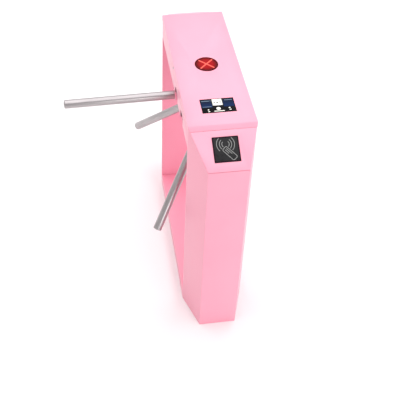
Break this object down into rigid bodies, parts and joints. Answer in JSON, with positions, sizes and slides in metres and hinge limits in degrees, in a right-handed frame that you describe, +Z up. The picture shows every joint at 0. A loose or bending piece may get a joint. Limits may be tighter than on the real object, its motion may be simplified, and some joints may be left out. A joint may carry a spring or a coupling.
{
  "type": "tripod turnstile",
  "caption": "Waist-high tripod turnstile with a bridge-shaped sheet-steel cabinet, a card reader, a display, an indicator light and three rotating tube arms.",
  "frame": {"origin": "centre of the cabinet's footprint, on the floor", "axes": "+Z up; +Y along the cabinet away from its card-reader end; the arms stand out towards -X"},
  "size_m": [0.7037, 1.036, 1.0012],
  "materials": {
    "pink_powder_coat": "satin powder coat",
    "brushed_stainless": "brushed along the tube",
    "machined_steel": "machined, lightly oiled",
    "zinc_plated_steel": "zinc plated",
    "black_glass": "polished, dark",
    "red_lens": "clear gloss, lit from behind",
    "green_board": "solder-masked glass fibre",
    "grey_plastic": "moulded",
    "brass": "machined"
  },
  "bodies": {
    "cabinet": {"base_plate": "pink_powder_coat", "floor_tray": "pink_powder_coat", "near_column": "pink_powder_coat", "far_column": "pink_powder_coat", "near_service_panel": "pink_powder_coat", "far_service_panel": "pink_powder_coat", "near_slope_panel": "pink_powder_coat", "far_slope_panel": "pink_powder_coat", "box_pan": "pink_powder_coat", "lid": "pink_powder_coat", "mechanism_cover": "pink_powder_coat", "front_bearing": "brushed_stainless", "rear_bearing": "brushed_stainless", "index_spring": "brushed_stainless", "bearing_housing": "machined_steel", "lever_pin": "machined_steel", "lever_stop": "machined_steel", "pawl_pin_far": "machined_steel", "pawl_pin_near": "machined_steel", "mechanism_chassis": "zinc_plated_steel", "mount_cheek_near": "zinc_plated_steel", "mount_cheek_far": "zinc_plated_steel", "power_supply": "zinc_plated_steel", "lid_screw_left": "zinc_plated_steel", "lid_screw_right": "zinc_plated_steel", "display_window": "black_glass", "reader_glass": "black_glass", "indicator_lens": "red_lens", "indicator_board": "green_board", "display_module": "green_board", "encoder_board": "green_board", "control_board": "green_board", "cable_gland": "grey_plastic", "reader_housing": "grey_plastic", "encoder_cover": "grey_plastic", "solenoid_near": "grey_plastic", "solenoid_far": "grey_plastic", "terminal_block": "grey_plastic"},
    "tripod": {"main_shaft": "machined_steel", "encoder_ring": "brass", "lock_wheel": "machined_steel", "index_cam": "machined_steel", "rotor_hub": "pink_powder_coat", "hub_nose_cap": "brushed_stainless", "arm_tube_1": "brushed_stainless", "arm_tube_2": "brushed_stainless", "arm_tube_3": "brushed_stainless", "arm_end_cap_1": "brushed_stainless", "arm_end_cap_2": "brushed_stainless", "arm_end_cap_3": "brushed_stainless", "arm_set_screw_1": "zinc_plated_steel", "arm_set_screw_2": "zinc_plated_steel", "arm_set_screw_3": "zinc_plated_steel"},
    "index_lever": {"index_lever": "zinc_plated_steel", "index_roller": "brushed_stainless", "roller_pin": "machined_steel"},
    "lock_pawl_far": {"lock_pawl_far": "machined_steel"},
    "lock_pawl_near": {"lock_pawl_near": "machined_steel"},
    "solenoid_plunger_far": {"solenoid_plunger_far": "brushed_stainless"},
    "solenoid_plunger_near": {"solenoid_plunger_near": "brushed_stainless"}
  },
  "joints": [
    {"name": "tripod_spin", "type": "hinge", "parent": "cabinet", "child": "tripod", "pos_m": [0.051, -0.001, 0.8615], "axis": [-0.8047, 0, -0.5937], "continuous": true},
    {"name": "index_lever_swing", "type": "hinge", "parent": "cabinet", "child": "index_lever", "pos_m": [0.0516, -0.063, 0.78489], "axis": [-0.8047, 0, -0.5937], "range_deg": [0, 8]},
    {"name": "lock_pawl_far_swing", "type": "hinge", "parent": "cabinet", "child": "lock_pawl_far", "pos_m": [-0.00876, 0.065, 0.89197], "axis": [0.8047, 0, 0.5937], "range_deg": [0, 6]},
    {"name": "lock_pawl_near_swing", "type": "hinge", "parent": "cabinet", "child": "lock_pawl_near", "pos_m": [-0.00876, -0.067, 0.89197], "axis": [-0.8047, 0, -0.5937], "range_deg": [0, 6]},
    {"name": "solenoid_plunger_far_slide", "type": "slide", "parent": "cabinet", "child": "solenoid_plunger_far", "axis": [0.5937, 0, -0.8047], "range_m": [0, 0.0048]},
    {"name": "solenoid_plunger_near_slide", "type": "slide", "parent": "cabinet", "child": "solenoid_plunger_near", "axis": [0.5937, 0, -0.8047], "range_m": [0, 0.0048]}
  ],
  "couplings": [
    {"joint": "solenoid_plunger_far_slide", "follows": "lock_pawl_far_swing", "m_per_rad": 0.044},
    {"joint": "solenoid_plunger_near_slide", "follows": "lock_pawl_near_swing", "m_per_rad": 0.044}
  ]
}
